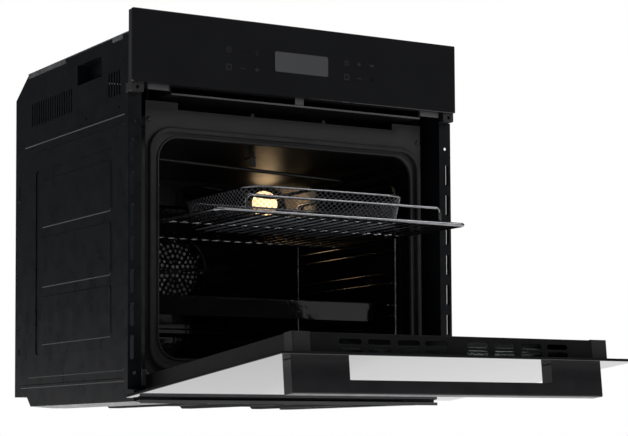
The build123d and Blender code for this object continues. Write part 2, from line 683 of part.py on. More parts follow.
# ---- shelf rails --------------------------------------------------------------------
RAIL_DEPTHS = (65, 387)
RAIL_HEIGHTS = (107, 372)
RAIL_X = 228.3
with BuildPart() as side_rail:
    bent_rod(
        [
            at(RAIL_X, RAIL_DEPTHS[0] + 120, RAIL_HEIGHTS[0]),
            at(RAIL_X, RAIL_DEPTHS[0], RAIL_HEIGHTS[0]),
            at(RAIL_X, RAIL_DEPTHS[0], RAIL_HEIGHTS[1]),
            at(RAIL_X, RAIL_DEPTHS[1], RAIL_HEIGHTS[1]),
            at(RAIL_X, RAIL_DEPTHS[1], RAIL_HEIGHTS[0]),
            at(RAIL_X, RAIL_DEPTHS[0] + 110, RAIL_HEIGHTS[0]),
        ],
        2.5,
        12,
    )
    for height in RUNG_HEIGHTS:
        for level in (height, height - RUNG_DROP):
            if level > RAIL_HEIGHTS[0]:
                bent_rod(
                    [
                        at(RAIL_X, RAIL_DEPTHS[0], level),
                        at(RUNG_X, RAIL_DEPTHS[0] + 12, level),
                        at(RUNG_X, RAIL_DEPTHS[1] - 12, level),
                        at(RAIL_X, RAIL_DEPTHS[1], level),
                    ],
                    RUNG_RADIUS,
                    8,
                )
    for depth in RAIL_DEPTHS:
        rod(at(RAIL_X, depth, RAIL_HEIGHTS[1] - 25), at(CAVITY_HALF, depth, RAIL_HEIGHTS[1] - 25), 2)
        rod(at(RAIL_X, depth, RAIL_HEIGHTS[0] + 20), at(CAVITY_HALF, depth, RAIL_HEIGHTS[0] + 20), 2)
save_both(side_rail, "side_rails")

# ---- pull-out rack and basket ----------------------------------------------------------
RACK_ROD = 3
RACK_WIRE = 1.5
WIRE_PITCH = 21
FENCE_HALF = 173.5
FENCE_RISE = 24
RACK_BACK = RACK_FRONT + RACK_DEPTH
RACK_AXIS = RACK_HEIGHT + RACK_ROD
WIRE_AXIS = RACK_AXIS - 1
CROSS_AXIS = RACK_AXIS + 1
CROSS_ROD = 2
CROSS_BAR = RACK_FRONT + RACK_DEPTH * 0.48
with BuildPart() as rack:
    rack_x = SHELF_HALF - RACK_ROD
    bent_rod(
        [
            at(-40, RACK_FRONT, RACK_AXIS),
            at(-rack_x, RACK_FRONT, RACK_AXIS),
            at(-rack_x, RACK_BACK, RACK_AXIS),
            at(rack_x, RACK_BACK, RACK_AXIS),
            at(rack_x, RACK_FRONT, RACK_AXIS),
            at(-50, RACK_FRONT, RACK_AXIS),
        ],
        RACK_ROD,
        9,
    )
    bent_rod(
        [
            at(-FENCE_HALF, RACK_FRONT, RACK_AXIS),
            at(-FENCE_HALF, RACK_FRONT, RACK_AXIS + FENCE_RISE),
            at(FENCE_HALF, RACK_FRONT, RACK_AXIS + FENCE_RISE),
            at(FENCE_HALF, RACK_FRONT, RACK_AXIS),
        ],
        2.2,
        8,
    )
    rod(at(-rack_x, CROSS_BAR, CROSS_AXIS), at(rack_x, CROSS_BAR, CROSS_AXIS), CROSS_ROD)
    for index in range(-9, 11):
        x = (index - 0.5) * WIRE_PITCH
        rod(at(x, RACK_FRONT, WIRE_AXIS), at(x, RACK_BACK, WIRE_AXIS), RACK_WIRE)
save(rack, "pull_out_rack")

BASKET_X = 16
BASKET_HALF = 147
BASKET_FRONT = -78
BASKET_BACK = 160
BASKET_FLOOR = RACK_AXIS + RACK_ROD + 0.3
BASKET_RIM = 329
BASKET_SLOPE = 10
BASKET_WALL = 1.6
with BuildPart() as basket:
    basket_middle = (BASKET_X, FRONT_Y + (BASKET_FRONT + BASKET_BACK) / 2)
    basket_length = BASKET_BACK - BASKET_FRONT
    with BuildSketch(Plane.XY.offset(BASKET_FLOOR)):
        with Locations(basket_middle):
            RectangleRounded(2 * (BASKET_HALF - BASKET_SLOPE), basket_length - 2 * BASKET_SLOPE, 30)
    with BuildSketch(Plane.XY.offset(BASKET_RIM)):
        with Locations(basket_middle):
            RectangleRounded(2 * BASKET_HALF, basket_length, 40)
    loft()
    with BuildSketch(Plane.XY.offset(BASKET_FLOOR + BASKET_WALL)):
        with Locations(basket_middle):
            RectangleRounded(2 * (BASKET_HALF - BASKET_SLOPE - BASKET_WALL),
                             basket_length - 2 * (BASKET_SLOPE + BASKET_WALL), 28.4)
    with BuildSketch(Plane.XY.offset(BASKET_RIM)):
        with Locations(basket_middle):
            RectangleRounded(2 * (BASKET_HALF - BASKET_WALL), basket_length - 2 * BASKET_WALL, 38.4)
    loft(mode=Mode.SUBTRACT)
    with BuildSketch(Plane.XY.offset(BASKET_RIM)):
        with Locations(basket_middle):
            RectangleRounded(2 * BASKET_HALF + 4, basket_length + 4, 42)
            RectangleRounded(2 * BASKET_HALF - 4, basket_length - 4, 38, mode=Mode.SUBTRACT)
    extrude(amount=4)
save(basket, "mesh_basket")

# ---- baking tray --------------------------------------------------------------------------
TRAY_DROP = 29
with BuildPart() as tray:
    tray_middle = (0, FRONT_Y + (TRAY_FRONT + TRAY_BACK) / 2)
    tray_length = TRAY_BACK - TRAY_FRONT
    with BuildSketch(Plane.XY.offset(TRAY_HEIGHT)):
        with Locations(tray_middle):
            RectangleRounded(2 * SHELF_HALF, tray_length, 16)
    extrude(amount=1.2)
    with BuildSketch(Plane.XY.offset(TRAY_HEIGHT)):
        with Locations(tray_middle):
            RectangleRounded(2 * SHELF_HALF - 28, tray_length - 20, 14)
    extrude(amount=-TRAY_DROP, taper=10)
    with BuildSketch(Plane.XY.offset(TRAY_HEIGHT + 1.2)):
        with Locations(tray_middle):
            RectangleRounded(2 * SHELF_HALF - 30.4, tray_length - 22.4, 13)
    extrude(amount=-TRAY_DROP, taper=10, mode=Mode.SUBTRACT)
save(tray, "baking_tray")

# ---- door glass ------------------------------------------------------------------------------
with BuildPart() as outer_glass:
    block((-PANEL_HALF, PANEL_HALF), (PANEL_FRONT, DOOR_GLASS_BACK), (DOOR_BOTTOM, DOOR_TOP))
    fillet(outer_glass.edges().filter_by(Axis.Y), 2)
    chamfer(outer_glass.faces().sort_by(Axis.Y)[0].edges(), 0.6)
    with BuildSketch(facing(PANEL_FRONT)):
        with Locations((-235, 433.5), (-198, 433.5), (198, 433.5), (235, 433.5)):
            Circle(3)
    extrude(amount=-GLASS, mode=Mode.SUBTRACT)
save_door(outer_glass, "door_outer_glass")

INNER_GLASS_HALF = 248
with BuildPart() as inner_glass:
    block((-INNER_GLASS_HALF, INNER_GLASS_HALF), (DOOR_INNER - GLASS, DOOR_INNER), (34, 445))
    fillet(inner_glass.edges().filter_by(Axis.Y), 5)
save_door(inner_glass, "door_inner_glass")

with BuildPart() as middle_glass:
    block((-215, 215), (0, 3), (60, 425))
save_door(middle_glass, "door_middle_glass")

# ---- door body ---------------------------------------------------------------------------------
with BuildPart() as inner_frame:
    with BuildSketch(facing(DOOR_INNER - GLASS - SHEET)):
        with Locations((0, (16 + 445) / 2)):
            Rectangle(2 * INNER_GLASS_HALF, 445 - 16)
        with Locations((0, 240)):
            RectangleRounded(400, 310, 16, mode=Mode.SUBTRACT)
    extrude(amount=-SHEET)
    block((-INNER_GLASS_HALF, INNER_GLASS_HALF), (DOOR_INNER - GLASS, DOOR_INNER - 0.5),
          (28, 33.5))
save_door(inner_frame, "door_inner_frame")

SIDE_TOP = 436
with BuildPart() as door_side:
    block((DOOR_BODY_HALF - SHEET, DOOR_BODY_HALF), (DOOR_GLASS_BACK, DOOR_INNER),
          (14, SIDE_TOP))
    block((INNER_GLASS_HALF + 0.5, DOOR_BODY_HALF - SHEET), (DOOR_INNER - SHEET, DOOR_INNER),
          (90, SIDE_TOP))
    block((DOOR_BODY_HALF - 12, DOOR_BODY_HALF - SHEET),
          (DOOR_GLASS_BACK, DOOR_GLASS_BACK + SHEET), (205, SIDE_TOP))
save_door_both(door_side, "door_side_profiles")

CAP_INNER = 237
TRIM_HALF = CAP_INNER - 0.2
SLOT_STARTS = (17, 63, 110.5, 157)
with BuildPart() as door_trim:
    block((-TRIM_HALF, TRIM_HALF), (DOOR_GLASS_BACK, DOOR_INNER),
          (DOOR_BODY_TOP - 1.5, DOOR_BODY_TOP))
    block((-TRIM_HALF, TRIM_HALF), (DOOR_INNER - SHEET, DOOR_INNER),
          (445.5, DOOR_BODY_TOP - 1.5))
    block((-TRIM_HALF, TRIM_HALF), (DOOR_GLASS_BACK, DOOR_GLASS_BACK + SHEET),
          (446, DOOR_BODY_TOP - 1.5))
    with BuildSketch(Plane.XY.offset(DOOR_BODY_TOP)):
        for start in SLOT_STARTS:
            for depth in (6.4, -5.0):
                with Locations((start + 18, FRONT_Y + depth), (-start - 18, FRONT_Y + depth)):
                    SlotOverall(36, 7.4)
    extrude(amount=-1.5, mode=Mode.SUBTRACT)
    fillet(door_trim.edges().filter_by(Axis.X).group_by(Axis.Z)[-1], 0.7)
save_door(door_trim, "door_top_trim")

with BuildPart() as end_cap:
    block((CAP_INNER, DOOR_BODY_HALF + 0.5), (DOOR_GLASS_BACK, DOOR_INNER + 1),
          (SIDE_TOP, DOOR_BODY_TOP + 0.5))
    fillet(end_cap.faces().sort_by(Axis.Z)[-1].edges(), 1.5)
    block((CAP_INNER, DOOR_BODY_HALF - 4), (DOOR_GLASS_BACK, DOOR_INNER - 3),
          (SIDE_TOP, DOOR_BODY_TOP - 4), Mode.SUBTRACT)
    block((CAP_INNER, INNER_GLASS_HALF + 0.5), (DOOR_INNER - 6, DOOR_INNER + 1),
          (SIDE_TOP, 445.5), Mode.SUBTRACT)
save_door_both(end_cap, "door_end_caps")

with BuildPart() as door_sill:
    block((-INNER_GLASS_HALF, INNER_GLASS_HALF), (DOOR_GLASS_BACK, 12.8), (14, 14 + SHEET))
    block((-INNER_GLASS_HALF, INNER_GLASS_HALF), (DOOR_GLASS_BACK, DOOR_GLASS_BACK + SHEET),
          (14 + SHEET, 34))
    for start in SLOT_STARTS:
        both_blocks((start, start + 30), (-4, 6), (14, 14 + SHEET), Mode.SUBTRACT)
save_door(door_sill, "door_bottom_trim")

# ---- handle ---------------------------------------------------------------------------------------
HANDLE_BOTTOM = HANDLE_TOP - HANDLE_BAR
HANDLE_FRONT = PANEL_FRONT - HANDLE_REACH
LEG_INNER = 171
BAR_THICK = 19
SCREW_XS = (-235, -198, 198, 235)
HANDLE_MIDDLE = (HANDLE_TOP + HANDLE_BOTTOM) / 2
with BuildPart() as handle:
    block((-HANDLE_HALF, HANDLE_HALF), (HANDLE_FRONT, PANEL_FRONT), (HANDLE_BOTTOM, HANDLE_TOP))
    block((-LEG_INNER, LEG_INNER), (HANDLE_FRONT + BAR_THICK, PANEL_FRONT),
          (HANDLE_BOTTOM, HANDLE_TOP), Mode.SUBTRACT)
    fillet(handle.edges().filter_by(Axis.X).group_by(Axis.Y)[0], 2)
    fillet(handle.edges().filter_by(Axis.Z), 1)
    with BuildSketch(facing(PANEL_FRONT)):
        with Locations(*[(x, HANDLE_MIDDLE) for x in SCREW_XS]):
            Circle(2.5)
    extrude(amount=14, mode=Mode.SUBTRACT)
save_door(handle, "door_handle")

with BuildPart() as handle_screws:
    for x in SCREW_XS:
        with Locations(at(x, DOOR_GLASS_BACK + 1.5, HANDLE_MIDDLE)):
            Cylinder(5, 3, rotation=(90, 0, 0))
        rod(at(x, DOOR_GLASS_BACK, HANDLE_MIDDLE), at(x, PANEL_FRONT - 14, HANDLE_MIDDLE), 2.5)
save_door(handle_screws, "handle_screws")

# ---- door hinges -------------------------------------------------------------------------------------
CASE = (250, 263.6)
ARM = (255.3, 258.3)
ARM_EYE = 5.2
PIN_RADIUS = 3
PIN_GAP = 0.05
with BuildPart() as hinge_case:
    block(CASE, (-11, DOOR_INNER - 3.5), (15.4, 200))
    block((CASE[0] + 1.5, CASE[1] - 1.5), (-9.5, DOOR_INNER), (15.4, 200), Mode.SUBTRACT)
    with BuildSketch(Plane.YZ.offset(CASE[0])):
        with Locations((FRONT_Y + PIVOT_DEPTH, PIVOT_HEIGHT)):
            Circle(PIN_RADIUS)
    extrude(amount=CASE[1] - CASE[0], mode=Mode.SUBTRACT)
save_door_both(hinge_case, "hinge_cases")

with BuildPart() as hinge_pins:
    for side in (-1, 1):
        rod(at(side * CASE[0], PIVOT_DEPTH, PIVOT_HEIGHT),
            at(side * CASE[1], PIVOT_DEPTH, PIVOT_HEIGHT), PIN_RADIUS)
save_door(hinge_pins, "hinge_pins")

with BuildPart() as hinge_springs:
    for side in (-1, 1):
        middle = side * (CASE[0] + CASE[1]) / 2
        for index in range(24):
            with Locations(at(middle, 2, 62 + index * 5)):
                Torus(3.6, 1.1)
        rod(at(middle, 2, 45), at(middle, 2, 190), 2.7)
save_door(hinge_springs, "hinge_springs")

with BuildPart() as hinge_arm:
    with BuildSketch(Plane.YZ.offset(ARM[0])):
        with BuildLine():
            Polyline(
                (FRONT_Y + 3, 15),
                (FRONT_Y + 34, 31),
                (FRONT_Y + 90, 31),
                (FRONT_Y + 90, 52),
                (FRONT_Y + 22, 52),
                (FRONT_Y - 6, 29),
                close=True,
            )
        make_face()
        with Locations((FRONT_Y + PIVOT_DEPTH, PIVOT_HEIGHT)):
            Circle(ARM_EYE)
            Circle(PIN_RADIUS + PIN_GAP, mode=Mode.SUBTRACT)
    extrude(amount=ARM[1] - ARM[0])
save_both(hinge_arm, "hinge_arms")

with BuildPart() as hinge_receiver:
    block((ARM[1], ARM[1] + 2), (32, 96), (24, 64))
    block((ARM[1] + 2, INSIDE_HALF), (32, 34), (24, 64))
    block((ARM[1] + 2, INSIDE_HALF), (94, 96), (24, 64))
save_both(hinge_receiver, "hinge_receivers")

# ---- controls and wiring points ---------------------------------------------------------------------------
with BuildPart() as power_board:
    block((-220, -70), (300, 420), (452, 453.6))
    block((-210, -180), (310, 345), (453.6, 480))
    block((-170, -150), (310, 330), (453.6, 470))
    block((-140, -120), (310, 330), (453.6, 470))
    block((-110, -80), (310, 340), (453.6, 476))
    for index in range(5):
        block((-212 + index * 28, -190 + index * 28), (400, 416), (453.6, 464))
save(power_board, "power_board")

with BuildPart() as board_tray:
    block((-226, -64), (294, 426), (440, 441.2))
    for x in (-216, -80):
        for depth in (304, 414):
            block((x, x + 6), (depth, depth + 6), (441.2, 452))
save(board_tray, "board_tray")

with BuildPart() as terminal_block:
    block((-218, -152), (CABINET_DEPTH - 26, CABINET_DEPTH - SHEET), (463, 505))
    for index in range(5):
        with Locations(at(-209 + index * 12, CABINET_DEPTH - SHEET - 4, 484)):
            Cylinder(3.4, 8, rotation=(90, 0, 0), mode=Mode.SUBTRACT)
save(terminal_block, "terminal_block")

with BuildPart() as thermal_cutout:
    with Locations(at(90, 370, 442)):
        Cylinder(9, 10)
    block((76, 104), (365, 375), (437.2, 438.4))
save(thermal_cutout, "thermal_cutout")

with BuildPart() as temperature_probe:
    rod(at(-150, 340, CAVITY_CEILING - 22), at(-150, CAVITY_BACK, CAVITY_CEILING - 22), 2.5)
save(temperature_probe, "temperature_probe")

# ---- fasteners ---------------------------------------------------------------------------------------------------
with BuildPart() as cabinet_screws:
    for side in (-1, 1):
        for height in (439, 38):
            with Locations(at(side * 249, FACE_DEPTH - 1, height)):
                Cylinder(3.6, 2, rotation=(90, 0, 0))
            rod(at(side * 249, FACE_DEPTH, height), at(side * 249, FACE_DEPTH + 4, height), 2)
        for height in (40, 200, 360, 520):
            with Locations(at(side * 262, CABINET_DEPTH + 1, height)):
                Cylinder(4, 2, rotation=(90, 0, 0))
save(cabinet_screws, "cabinet_screws")
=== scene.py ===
import json
import math

import bmesh
import bpy
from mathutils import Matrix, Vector


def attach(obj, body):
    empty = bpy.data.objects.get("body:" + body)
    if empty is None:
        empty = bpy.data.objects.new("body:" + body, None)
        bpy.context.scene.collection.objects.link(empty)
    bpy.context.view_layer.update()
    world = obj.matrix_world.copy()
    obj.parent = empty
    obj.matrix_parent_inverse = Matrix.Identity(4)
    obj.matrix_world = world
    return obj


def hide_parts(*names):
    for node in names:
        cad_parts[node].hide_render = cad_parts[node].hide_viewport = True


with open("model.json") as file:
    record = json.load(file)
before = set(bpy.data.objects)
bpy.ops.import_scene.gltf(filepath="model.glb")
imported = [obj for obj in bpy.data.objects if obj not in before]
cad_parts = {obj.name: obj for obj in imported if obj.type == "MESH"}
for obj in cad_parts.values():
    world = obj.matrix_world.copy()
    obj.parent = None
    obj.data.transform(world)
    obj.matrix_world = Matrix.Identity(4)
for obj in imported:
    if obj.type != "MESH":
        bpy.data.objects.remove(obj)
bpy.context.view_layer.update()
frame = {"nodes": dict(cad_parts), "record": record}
NODES = frame["nodes"]

# Depths below are counted back from the front columns' plane, in metres.
FRONT_Y = -0.25
PANEL_FRONT = -0.016


def at(x, depth, z):
    return Vector((x, FRONT_Y + depth, z))


# ---- materials -----------------------------------------------------------------
class Graph:
    """A small helper around one material's node tree."""

    def __init__(self, name):
        self.material = bpy.data.materials.new(name)
        self.material.use_nodes = True
        self.tree = self.material.node_tree
        self.shader = self.tree.nodes["Principled BSDF"]
        self.coords = self.add("ShaderNodeTexCoord").outputs["Object"]

    def add(self, kind, **inputs):
        node = self.tree.nodes.new(kind)
        for key, value in inputs.items():
            node.inputs[key].default_value = value
        return node

    def link(self, source, target):
        self.tree.links.new(source, target)

    def stretched(self, scale):
        node = self.add("ShaderNodeMapping")
        node.inputs["Scale"].default_value = scale
        self.link(self.coords, node.inputs["Vector"])
        return node.outputs["Vector"]

    def noise(self, scale, detail=3.0, roughness=0.55, vector=None):
        node = self.add("ShaderNodeTexNoise", Scale=scale, Detail=detail, Roughness=roughness)
        self.link(vector or self.coords, node.inputs["Vector"])
        return node.outputs["Fac"]

    def cells(self, scale, feature="F1", vector=None):
        node = self.add("ShaderNodeTexVoronoi", Scale=scale)
        node.feature = feature
        self.link(vector or self.coords, node.inputs["Vector"])
        return node

    def remap(self, source, low, high, start=0.3, end=0.7):
        node = self.add("ShaderNodeMapRange")
        for key, value in (("From Min", start), ("From Max", end), ("To Min", low), ("To Max", high)):
            node.inputs[key].default_value = value
        self.link(source, node.inputs["Value"])
        return node.outputs["Result"]

    def blend(self, factor, first, second):
        node = self.tree.nodes.new("ShaderNodeMix")
        node.data_type = "RGBA"
        node.inputs[6].default_value = (*first, 1)
        node.inputs[7].default_value = (*second, 1)
        self.link(factor, node.inputs[0])
        return node.outputs[2]

    def color(self, socket):
        self.link(socket, self.shader.inputs["Base Color"])

    def roughness(self, socket):
        self.link(socket, self.shader.inputs["Roughness"])

    def bump(self, socket, strength, distance):
        node = self.add("ShaderNodeBump", Strength=strength, Distance=distance)
        self.link(socket, node.inputs["Height"])
        self.link(node.outputs["Normal"], self.shader.inputs["Normal"])

    def set(self, **values):
        for key, value in values.items():
            self.shader.inputs[key.replace("_", " ")].default_value = value


def coated(name, dark, light, rough, metal=0.0, grain=900.0, depth=0.00006, cloud=9.0, ior=1.45):
    """Paint, enamel or plastic: slow cloudy colour, uneven gloss and a fine skin."""
    g = Graph(name)
    slow = g.noise(cloud, 4)
    fine = g.noise(grain, 2)
    g.color(g.blend(g.remap(slow, 0, 1), dark, light))
    g.roughness(g.remap(g.noise(cloud * 5, 3), rough[0], rough[1]))
    g.bump(fine, 0.25, depth)
    g.set(Metallic=metal, IOR=ior)
    return g.material


def black_glass():
    g = Graph("black_glass")
    smear = g.noise(14, 5, 0.7)
    g.color(g.blend(g.remap(smear, 0, 1), (0.0095, 0.0098, 0.0112), (0.0120, 0.0124, 0.0142)))
    g.roughness(g.remap(smear, 0.025, 0.06))
    g.set(IOR=1.5, Coat_Weight=0.3, Coat_Roughness=0.02)
    return g.material


def clear_glass(name, tint, alpha_like=0.9):
    g = Graph(name)
    smear = g.noise(18, 4, 0.7)
    g.color(g.blend(g.remap(smear, 0, 1), tint, tuple(min(1, c * 1.06) for c in tint)))
    g.roughness(g.remap(smear, 0.02, 0.08))
    g.set(IOR=1.5, Transmission_Weight=alpha_like)
    return g.material


def galvanised():
    g = Graph("galvanised")
    spangle = g.cells(130)
    tone = g.add("ShaderNodeSeparateColor")
    g.link(spangle.outputs["Color"], tone.inputs["Color"])
    g.color(g.blend(tone.outputs["Red"], (0.150, 0.154, 0.161), (0.225, 0.231, 0.241)))
    g.roughness(g.remap(tone.outputs["Green"], 0.38, 0.6, 0, 1))
    g.bump(g.noise(60, 4), 0.3, 0.0004)
    g.set(Metallic=0.95)
    return g.material


def brushed(name, dark, light, rough, streak=(4, 300, 300)):
    g = Graph(name)
    lines = g.noise(6, 6, 0.7, g.stretched(streak))
    g.color(g.blend(g.remap(lines, 0, 1), dark, light))
    g.roughness(g.remap(lines, rough[0], rough[1]))
    g.bump(lines, 0.15, 0.0001)
    g.set(Metallic=1.0)
    return g.material


def enamel():
    """Vitreous enamel: black, glossy, slightly wavy, with tiny pale specks, duller on the ceiling."""
    g = Graph("black_enamel")
    speck = g.cells(420)
    dots = g.remap(speck.outputs["Distance"], 1, 0, 0.05, 0.16)
    g.color(g.blend(dots, (0.004, 0.004, 0.0045), (0.03, 0.03, 0.034)))
    axes = g.add("ShaderNodeSeparateXYZ")
    g.link(g.coords, axes.inputs["Vector"])
    uneven = g.add("ShaderNodeMath")
    uneven.operation = "ADD"
    g.link(g.remap(g.noise(26, 4), 0.05, 0.09), uneven.inputs[0])
    g.link(g.remap(axes.outputs["Z"], 0.0, 0.30, 0.396, 0.409), uneven.inputs[1])
    g.roughness(uneven.outputs["Value"])
    g.bump(g.noise(30, 3, 0.6), 0.5, 0.0012)
    g.set(IOR=1.32)
    return g.material


def chrome():
    g = Graph("chrome_wire")
    wear = g.noise(70, 4)
    g.color(g.blend(g.remap(wear, 0, 1), (0.19, 0.19, 0.20), (0.33, 0.33, 0.345)))
    g.roughness(g.remap(wear, 0.16, 0.28))
    g.set(Metallic=1.0)
    return g.material


def element_metal():
    g = Graph("element_metal")
    heat = g.noise(24, 4)
    g.color(g.blend(g.remap(heat, 0, 1), (0.018, 0.017, 0.017), (0.042, 0.039, 0.037)))
    g.roughness(g.remap(heat, 0.25, 0.35))
    g.bump(g.noise(700, 2), 0.3, 0.0001)
    g.set(Metallic=0.5)
    return g.material


def glowing(name, color, strength):
    g = Graph(name)
    g.color(g.blend(g.noise(80, 2), (1.0, 0.82, 0.55), color))
    g.roughness(g.remap(g.noise(60, 2), 0.2, 0.4))
    g.set(Emission_Strength=strength, Emission_Color=(*color, 1))
    return g.material


def felt():
    g = Graph("blanket")
    fibre = g.noise(320, 6, 0.8)
    g.color(g.blend(fibre, (0.50, 0.47, 0.38), (0.86, 0.84, 0.76)))
    g.roughness(g.remap(fibre, 0.85, 1.0))
    g.bump(fibre, 0.9, 0.0015)
    g.set(Sheen_Weight=0.3)
    return g.material


MATERIALS = {
    "black_glass": black_glass(),
    "clear_glass": clear_glass("clear_glass", (0.78, 0.84, 0.82)),
    "side_paint": coated("side_paint", (0.0040, 0.0046, 0.0064), (0.0058, 0.0068, 0.0092),
                         (0.26, 0.36), grain=1500, depth=0.00004, ior=1.3),
    "black_enamel": enamel(),
    "galvanised": galvanised(),
    "trim_grey": coated("trim_grey", (0.055, 0.056, 0.060), (0.080, 0.081, 0.086), (0.35, 0.5)),
    "door_profile": coated("door_profile", (0.0045, 0.0045, 0.005), (0.0070, 0.0070, 0.0078),
                           (0.38, 0.48), grain=1400, ior=1.25),
    "black_plastic": coated("black_plastic", (0.008, 0.008, 0.009), (0.014, 0.014, 0.015),
                            (0.45, 0.62), grain=1800, depth=0.0001),
    "white_plastic": coated("white_plastic", (0.68, 0.67, 0.63), (0.78, 0.77, 0.74), (0.35, 0.5)),
    "handle_paint": coated("handle_paint", (0.009, 0.0085, 0.010), (0.013, 0.012, 0.0145),
                           (0.30, 0.40), grain=2200, depth=0.00004, ior=1.4),
    "chrome_wire": chrome(),
    "element_metal": element_metal(),
    "gasket_rubber": coated("gasket_rubber", (0.010, 0.010, 0.011), (0.02, 0.02, 0.021),
                            (0.6, 0.8), grain=700, depth=0.0005),
    "blanket": felt(),
    "basket_wire": brushed("basket_wire", (0.40, 0.41, 0.44), (0.62, 0.63, 0.67), (0.22, 0.34)),
    "face_enamel": coated("face_enamel", (0.016, 0.016, 0.018), (0.021, 0.021, 0.0235),
                          (0.34, 0.46), grain=1200),
    "pan_steel": coated("pan_steel", (0.006, 0.006, 0.0065), (0.012, 0.012, 0.013), (0.6, 0.75),
                        grain=500, ior=1.2),
    "dark_steel": brushed("dark_steel", (0.035, 0.035, 0.037), (0.07, 0.07, 0.073), (0.35, 0.5)),
    "hinge_steel": brushed("hinge_steel", (0.55, 0.56, 0.58), (0.78, 0.79, 0.80), (0.2, 0.36)),
    "screw_steel": brushed("screw_steel", (0.58, 0.58, 0.60), (0.80, 0.80, 0.82), (0.18, 0.32)),
    "aluminium": brushed("aluminium", (0.62, 0.63, 0.65), (0.78, 0.79, 0.80), (0.25, 0.4)),
    "board": coated("board", (0.02, 0.10, 0.035), (0.03, 0.16, 0.06), (0.3, 0.45), grain=500),
    "display_grey": coated("display_grey", (0.085, 0.086, 0.092), (0.10, 0.101, 0.108),
                           (0.12, 0.2), grain=3000, depth=0.00001),
    "lamp_glow": glowing("lamp_glow", (1.0, 0.66, 0.36), 1.9),
    "ceramic": coated("ceramic", (0.66, 0.64, 0.58), (0.80, 0.78, 0.73), (0.6, 0.8)),
    "icon_grey": coated("icon_grey", (0.05, 0.05, 0.055), (0.065, 0.066, 0.07), (0.3, 0.4)),
}

SLOT_OF = {item["node"]: item["material_slot"] for item in frame["record"]["subparts"]}


def paint(obj, slot):
    obj.data.materials.clear()
    obj.data.materials.append(MATERIALS[slot])


for name, obj in NODES.items():
    paint(obj, SLOT_OF[name])
paint(NODES["lamp_glass"], "lamp_glow")
paint(NODES["cavity_face"], "face_enamel")
paint(NODES["base_pan"], "pan_steel")
paint(NODES["base_plate"], "pan_steel")
paint(NODES["grill_bracket"], "dark_steel")


def piece(name, mesh, slot, body, smooth=True):
    """Link a mesh, ride a body, and name the record's slot that its finish belongs to."""
    obj = bpy.data.objects.new(name, mesh)
    bpy.context.scene.collection.objects.link(obj)
    mesh.materials.append(MATERIALS[slot])
    for polygon in mesh.polygons:
        polygon.use_smooth = smooth
    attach(obj, body)
    return obj


def mesh_from(verts, faces, name):
    mesh = bpy.data.meshes.new(name)
    mesh.from_pydata([tuple(v) for v in verts], [], faces)
    mesh.update()
    return mesh


def rounded_loop(half_x, half_y, radius, steps):
    """Points round a rounded rectangle, anticlockwise, evenly spaced."""
    straight_x, straight_y = half_x - radius, half_y - radius
    arc = radius * math.pi / 2
    parts = [2 * straight_y, arc, 2 * straight_x, arc] * 2
    total = sum(parts)
    points = []
    for index in range(steps):
        s = total * index / steps
        side = 0
        while s > parts[side]:
            s -= parts[side]
            side += 1
        quarter = side // 2
        if side % 2 == 0:
            p = {0: (half_x, -straight_y + s), 1: (straight_x - s, half_y),
                 2: (-half_x, straight_y - s), 3: (-straight_x + s, -half_y)}[quarter]
        else:
            cx, cy = {0: (1, 1), 1: (-1, 1), 2: (-1, -1), 3: (1, -1)}[quarter]
            a = quarter * math.pi / 2 + s / radius
            p = (cx * straight_x + radius * math.cos(a), cy * straight_y + radius * math.sin(a))
        points.append(p)
    return points


def inside_rounded(x, y, half_x, half_y, radius):
    """Pull a point onto the rounded rectangle when it lies outside it."""
    cx = max(-half_x + radius, min(half_x - radius, x))
    cy = max(-half_y + radius, min(half_y - radius, y))
    d = math.hypot(x - cx, y - cy)
    if d <= radius:
        return x, y, True
    return cx + (x - cx) * radius / d, cy + (y - cy) * radius / d, False


# ---- mesh basket -------------------------------------------------------------------
BASKET_HALF = 0.147
BASKET_MIDDLE = at(0.016, 0.041, 0)
BASKET_HALF_Y = 0.119
BASKET_FLOOR = 0.2864
BASKET_RIM = 0.331
BASKET_SLOPE = 0.010
BASKET_TURN = 0.040
BASKET_FLOOR_TURN = 0.030
STRAND_X = 0.0100
STRAND_Y = 0.0075
STRAND_THICK = 0.0011
RIM_RADIUS = 0.0019
FOOT_RADIUS = 0.0011
FOOT_LIFT = 0.0006


